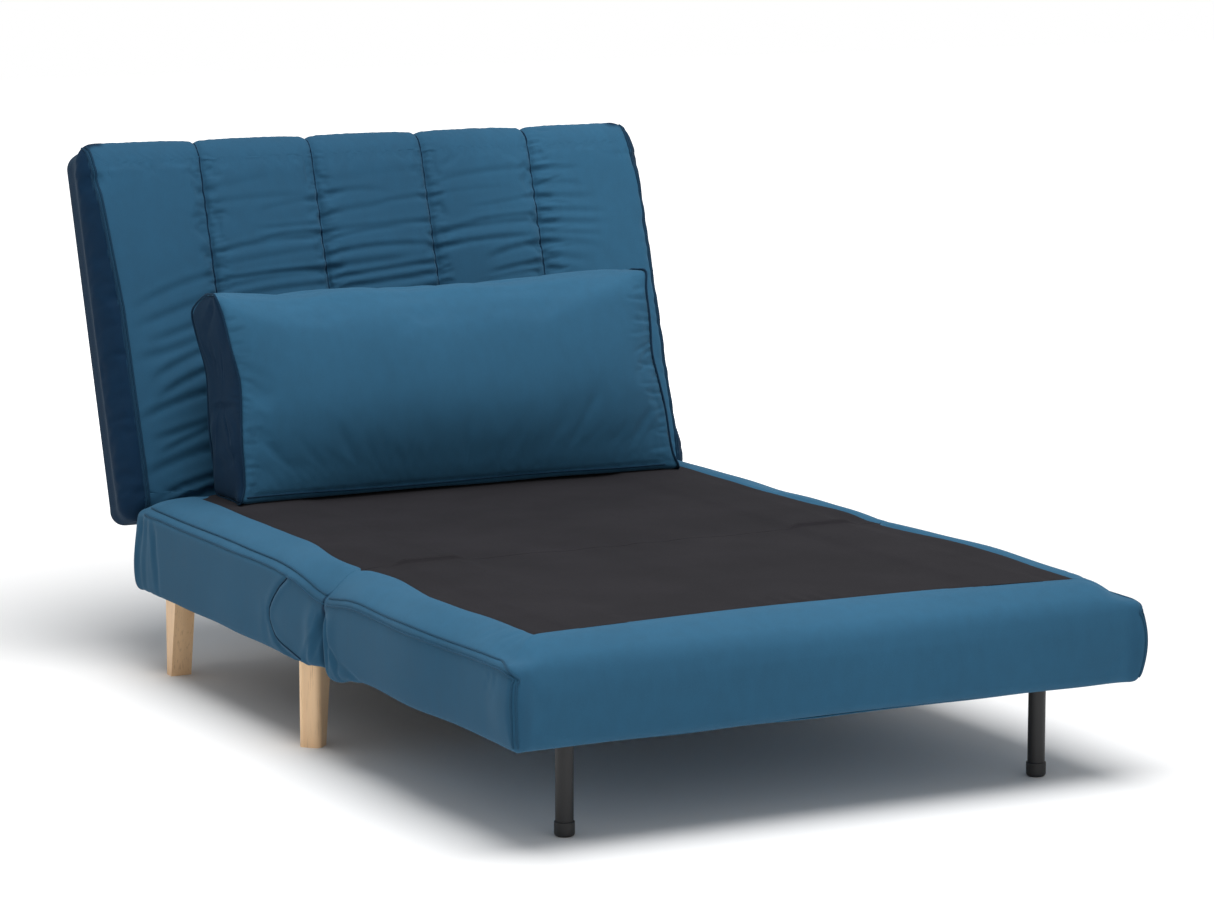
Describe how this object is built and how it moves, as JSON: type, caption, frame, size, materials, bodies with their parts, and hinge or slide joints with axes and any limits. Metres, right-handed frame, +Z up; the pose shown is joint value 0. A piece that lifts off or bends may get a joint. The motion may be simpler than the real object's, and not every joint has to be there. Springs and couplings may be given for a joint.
{
  "type": "futon sofa bed",
  "caption": "Fold-out chair bed: front seat section folds over the rear one, channelled backrest reclines flat, folding steel front legs, wooden rear legs, loose lumbar pillow.",
  "frame": {"origin": "on the floor, under the middle of the whole object's box, with the bed opened and the backrest up", "axes": "+Z up, -Y towards the front edge of the opened bed, +Y towards the backrest, +X across the width"},
  "size_m": [1, 1.6612, 0.832],
  "materials": {
    "velvet": "teal-blue velvet",
    "velvet_dark": "teal-blue velvet welt cord",
    "black_cloth": "black non-woven polypropylene cloth",
    "foam": "cream polyurethane foam",
    "timber": "sawn pine, unfinished",
    "beech": "clear-lacquered beech",
    "black_steel": "satin black powder coat",
    "zinc_steel": "zinc-plated",
    "black_plastic": "matt black",
    "webbing": "grey woven elastic webbing"
  },
  "bodies": {
    "base": {"rear_seat_cover": "velvet", "rear_black_panel": "black_cloth", "rear_dust_cover": "black_cloth", "rear_foam": "foam", "rear_left_rail": "timber", "rear_right_rail": "timber", "rear_fold_rail": "timber", "rear_back_rail": "timber", "rear_slats": "beech", "rear_piping": "velvet_dark", "left_fold_gusset": "velvet", "right_fold_gusset": "velvet", "rear_left_leg": "beech", "rear_right_leg": "beech", "middle_left_leg": "beech", "middle_right_leg": "beech", "leg_bolts": "zinc_steel", "fold_hinge_rear_leaves": "zinc_steel", "fold_hinge_pins": "zinc_steel", "left_recliner_plate": "zinc_steel", "right_recliner_plate": "zinc_steel", "recliner_pins": "zinc_steel", "recliner_ratchets": "zinc_steel"},
    "front_section": {"front_seat_cover": "velvet", "front_black_panel": "black_cloth", "front_upper_foam": "foam", "front_lower_foam": "foam", "front_left_rail": "timber", "front_right_rail": "timber", "front_fold_rail": "timber", "front_nose_rail": "timber", "front_leg_rail": "timber", "front_slats": "beech", "front_piping": "velvet_dark", "fold_hinge_front_leaves": "zinc_steel", "left_leg_channel": "black_steel", "right_leg_channel": "black_steel", "leg_pivot_bolts": "zinc_steel"},
    "left_steel_leg": {"left_leg_tube": "black_steel", "left_leg_cap": "black_plastic"},
    "right_steel_leg": {"right_leg_tube": "black_steel", "right_leg_cap": "black_plastic"},
    "backrest": {"backrest_cushion": "velvet", "backrest_back_cover": "velvet", "backrest_foam": "foam", "backrest_left_upright": "timber", "backrest_right_upright": "timber", "backrest_top_rail": "timber", "backrest_bottom_rail": "timber", "backrest_webbing": "webbing", "left_recliner_arm": "zinc_steel", "right_recliner_arm": "zinc_steel", "recliner_pawls": "zinc_steel"},
    "pillow": {"pillow_cover": "velvet", "pillow_filling": "foam"}
  },
  "joints": [
    {"name": "backrest_recline", "type": "hinge", "parent": "base", "child": "backrest", "pos_m": [0, 0.55337, 0.24807], "axis": [-1, 0, 0], "range_deg": [0, 72.5]},
    {"name": "front_fold", "type": "hinge", "parent": "base", "child": "front_section", "pos_m": [0, -0.20961, 0.2875], "axis": [-1, 0, 0], "range_deg": [0, 180]},
    {"name": "left_leg_fold", "type": "hinge", "parent": "front_section", "child": "left_steel_leg", "pos_m": [-0.379, -0.74061, 0.16], "axis": [0, -1, 0], "range_deg": [0, 90]},
    {"name": "right_leg_fold", "type": "hinge", "parent": "front_section", "child": "right_steel_leg", "pos_m": [0.379, -0.74061, 0.16], "axis": [0, 1, 0], "range_deg": [0, 90]},
    {"name": "pillow_lift", "type": "slide", "parent": "backrest", "child": "pillow", "axis": [0, 0.3007, 0.9537], "range_m": [0, 0.171]}
  ],
  "couplings": [
    {"joint": "pillow_lift", "follows": "front_fold", "m_per_rad": 0.054113}
  ]
}
